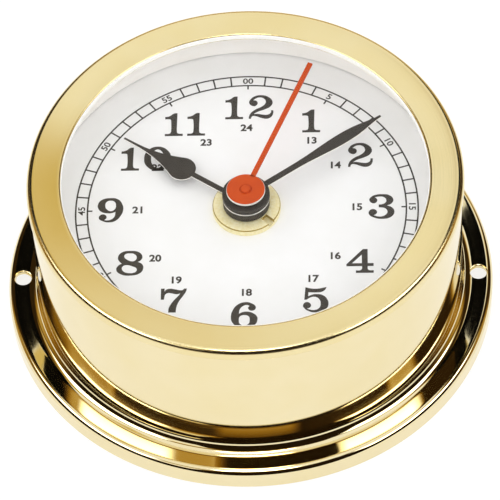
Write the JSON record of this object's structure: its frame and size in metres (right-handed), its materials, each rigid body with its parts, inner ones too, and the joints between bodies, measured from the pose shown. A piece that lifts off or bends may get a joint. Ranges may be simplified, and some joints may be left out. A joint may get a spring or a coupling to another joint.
{
  "type": "marine clock",
  "caption": "Round polished-brass bulkhead clock: spun case with a screw flange, dished bezel, flat glass, printed dial and a geared quartz movement behind it.",
  "frame": {"origin": "centre of the base, on the plane of the wall or table behind the clock", "axes": "+Z out of the dial along the hands' arbor, +Y towards 12 o'clock, +X towards 3 o'clock"},
  "size_m": [0.095, 0.095, 0.0356],
  "materials": {
    "case_brass": "polished",
    "nut_brass": "satin",
    "glass": "clear",
    "rubber": "matt",
    "dial_white": "satin white with dark grey print",
    "spacer_white": "matt",
    "hand_black": "satin",
    "hand_red": "satin",
    "case_black": "moulded",
    "case_pale": "moulded",
    "wheel_white": "moulded",
    "plated_steel": "plated",
    "cell_wrap": "gloss",
    "board_green": "coated laminate",
    "chip_black": "epoxy",
    "copper": "enamelled copper wire"
  },
  "bodies": {
    "case": {"case_shell": "case_brass", "bezel": "case_brass", "glass": "glass", "glass_gasket": "rubber", "rehaut_ring": "spacer_white", "dial": "dial_white", "dial_seat_ring": "case_brass", "threaded_bush": "nut_brass", "rubber_washer": "rubber", "brass_washer": "nut_brass", "slotted_nut": "nut_brass", "movement_front_case": "case_black", "movement_back_case": "case_pale", "middle_plate": "case_pale", "battery_cell": "cell_wrap", "positive_contact": "plated_steel", "negative_contact": "plated_steel", "circuit_board": "board_green", "control_chip": "chip_black", "quartz_crystal": "plated_steel", "stator": "plated_steel", "coil_core": "plated_steel", "coil_bobbin": "case_pale", "coil_winding": "copper"},
    "seconds": {"seconds_wheel": "wheel_white", "second_hand": "hand_red"},
    "minutes": {"centre_wheel": "wheel_white", "minute_hand": "hand_black"},
    "hours": {"hour_wheel": "wheel_white", "hour_hand": "hand_black"},
    "third": {"third_wheel": "wheel_white"},
    "intermediate": {"intermediate_wheel": "wheel_white"},
    "rotor": {"rotor": "plated_steel"},
    "motion": {"motion_wheel": "wheel_white"},
    "knob": {"setting_knob": "case_black"}
  },
  "joints": [
    {"name": "second_hand_turn", "type": "hinge", "parent": "case", "child": "seconds", "pos_m": [0, 0, 0.02], "axis": [0, 0, -1], "continuous": true},
    {"name": "minute_hand_turn", "type": "hinge", "parent": "case", "child": "minutes", "pos_m": [0, 0, 0.02], "axis": [0, 0, -1], "continuous": true},
    {"name": "hour_hand_turn", "type": "hinge", "parent": "case", "child": "hours", "pos_m": [0, 0, 0.02], "axis": [0, 0, -1], "continuous": true},
    {"name": "third_wheel_turn", "type": "hinge", "parent": "case", "child": "third", "pos_m": [0.0051, 0.00883, 0.015], "axis": [0, 0, -1], "continuous": true},
    {"name": "intermediate_wheel_turn", "type": "hinge", "parent": "case", "child": "intermediate", "pos_m": [-0.01009, 0, 0.012], "axis": [0, 0, -1], "continuous": true},
    {"name": "rotor_turn", "type": "hinge", "parent": "case", "child": "rotor", "pos_m": [-0.01529, 0.003, 0.012], "axis": [0, 0, -1], "continuous": true},
    {"name": "motion_wheel_turn", "type": "hinge", "parent": "case", "child": "motion", "pos_m": [0.00846, -0.00308, 0.02], "axis": [0, 0, -1], "continuous": true},
    {"name": "setting_knob_turn", "type": "hinge", "parent": "case", "child": "knob", "pos_m": [0.01746, -0.00308, 0.01], "axis": [0, 0, -1], "continuous": true}
  ],
  "couplings": [
    {"joint": "minute_hand_turn", "follows": "second_hand_turn", "ratio": 0.016667},
    {"joint": "hour_hand_turn", "follows": "second_hand_turn", "ratio": 0.0013889},
    {"joint": "third_wheel_turn", "follows": "second_hand_turn", "ratio": -0.13333},
    {"joint": "intermediate_wheel_turn", "follows": "second_hand_turn", "ratio": -6},
    {"joint": "rotor_turn", "follows": "second_hand_turn", "ratio": 30},
    {"joint": "motion_wheel_turn", "follows": "second_hand_turn", "ratio": -0.0055556},
    {"joint": "setting_knob_turn", "follows": "second_hand_turn", "ratio": 0.016667}
  ]
}
